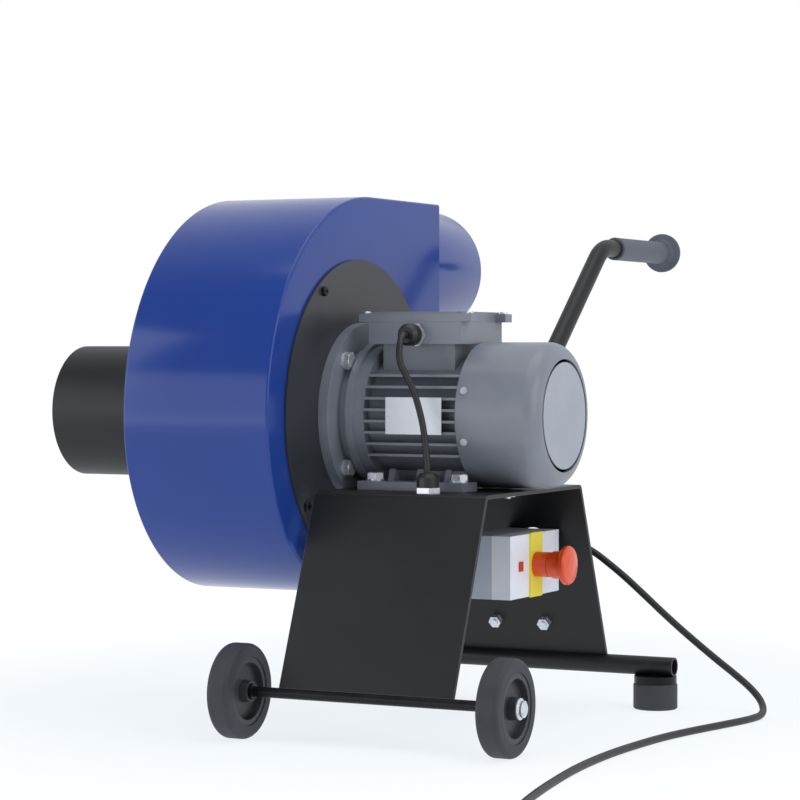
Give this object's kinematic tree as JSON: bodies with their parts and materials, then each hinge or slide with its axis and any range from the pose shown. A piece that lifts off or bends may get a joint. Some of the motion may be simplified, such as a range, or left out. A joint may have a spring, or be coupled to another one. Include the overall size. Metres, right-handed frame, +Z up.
{
  "type": "portable fume extraction fan",
  "caption": "Portable fume extraction fan: a blue scroll casing with inlet and outlet spigots and a finned motor on a black two-wheeled stand with a pull handle.",
  "frame": {"origin": "on the floor, under the middle of the fan without its mains cord", "axes": "+X along the fan's shaft from the inlet to the motor's cowl, +Y towards the outlet and the handle's grip, +Z up"},
  "size_m": [0.8154, 1.4564, 0.577],
  "materials": {
    "blue_paint": "smooth blue enamel, semi gloss",
    "black_paint": "black powder coat, fine texture",
    "motor_paint": "grey paint on cast aluminium, satin",
    "motor_light_paint": "light grey paint, satin",
    "impeller_paint": "dark grey paint on sheet steel",
    "galvanised_sheet": "galvanised sheet",
    "black_steel": "blackened steel",
    "zinc_plate": "bright zinc plate",
    "machined_steel": "machined steel",
    "lamination_steel": "varnished laminations",
    "bare_aluminium": "bare aluminium, satin",
    "black_plastic": "black polyamide",
    "brown_plastic": "moulded phenolic",
    "black_rubber": "black cable sheath",
    "wheel_rubber": "dark grey rubber",
    "wheel_plastic": "dark grey polypropylene",
    "foot_rubber": "dark rubber",
    "grip_rubber": "slate grey rubber grip",
    "grey_plastic": "light grey enclosure plastic",
    "white_plastic": "white enclosure plastic",
    "yellow_plastic": "yellow backing plate",
    "red_plastic": "orange red plastic",
    "red_lens": "red indicator lens"
  },
  "bodies": {
    "frame": {"scroll_wrapper": "blue_paint", "casing_motor_side": "blue_paint", "casing_inlet_side": "blue_paint", "outlet_plate": "blue_paint", "outlet_spigot": "blue_paint", "inlet_pipe": "black_paint", "inlet_cone": "galvanised_sheet", "motor_plate": "black_paint", "casing_screws": "black_steel", "stator_core": "lamination_steel", "motor_bearings": "machined_steel", "drive_end_shield": "motor_paint", "stator_frame": "motor_paint", "fan_end_shield": "motor_paint", "fan_cowl": "motor_paint", "cowl_end_plate": "motor_light_paint", "cowl_screws": "zinc_plate", "motor_feet": "motor_paint", "foot_bolts": "zinc_plate", "flange_bolts": "zinc_plate", "terminal_box": "motor_paint", "terminal_box_lid": "motor_paint", "terminal_box_screws": "zinc_plate", "terminal_block": "brown_plastic", "nameplate": "bare_aluminium", "cable_glands": "black_plastic", "gland_nuts": "zinc_plate", "motor_cable": "black_rubber", "stand": "black_paint", "axle": "black_steel", "axle_caps": "zinc_plate", "foot_tube": "black_paint", "rubber_feet": "foot_rubber", "foot_cups": "black_steel", "handle_tube": "black_paint", "handle_clamp": "black_paint", "handle_bolts": "zinc_plate", "handle_grip": "grip_rubber", "switch_box": "grey_plastic", "switch_box_cover": "white_plastic", "switch_box_bracket": "black_paint", "estop_plate": "yellow_plastic", "estop_collar": "red_plastic", "indicator_lens": "red_lens", "mains_cord": "black_rubber", "cord_coil": "black_rubber", "mains_plug": "black_plastic"},
    "rotor": {"motor_shaft": "machined_steel", "rotor_core": "lamination_steel", "impeller_wheel": "impeller_paint", "impeller_shroud": "impeller_paint", "impeller_hub": "machined_steel", "impeller_bolt": "zinc_plate", "cooling_fan": "black_plastic"},
    "wheel_left": {"wheel_left_tyre": "wheel_rubber", "wheel_left_hub": "wheel_plastic"},
    "wheel_right": {"wheel_right_tyre": "wheel_rubber", "wheel_right_hub": "wheel_plastic"},
    "estop_slider": {"estop_plunger": "machined_steel"},
    "estop_head": {"estop_button": "red_plastic"}
  },
  "joints": [
    {"name": "rotor_spin", "type": "hinge", "parent": "frame", "child": "rotor", "pos_m": [0.03125, -0.19467, 0.336], "axis": [1, 0, 0], "continuous": true},
    {"name": "wheel_left_spin", "type": "hinge", "parent": "frame", "child": "wheel_left", "pos_m": [-0.00875, -0.40033, 0.05], "axis": [1, 0, 0], "continuous": true},
    {"name": "wheel_right_spin", "type": "hinge", "parent": "frame", "child": "wheel_right", "pos_m": [0.29625, -0.40033, 0.05], "axis": [1, 0, 0], "continuous": true},
    {"name": "estop_press", "type": "slide", "parent": "frame", "child": "estop_slider", "axis": [-1, 0, 0], "range_m": [0, 0.004]},
    {"name": "estop_twist", "type": "hinge", "parent": "estop_slider", "child": "estop_head", "pos_m": [0.23975, -0.12087, 0.1698], "axis": [-1, 0, 0], "range_deg": [0, 30]}
  ]
}
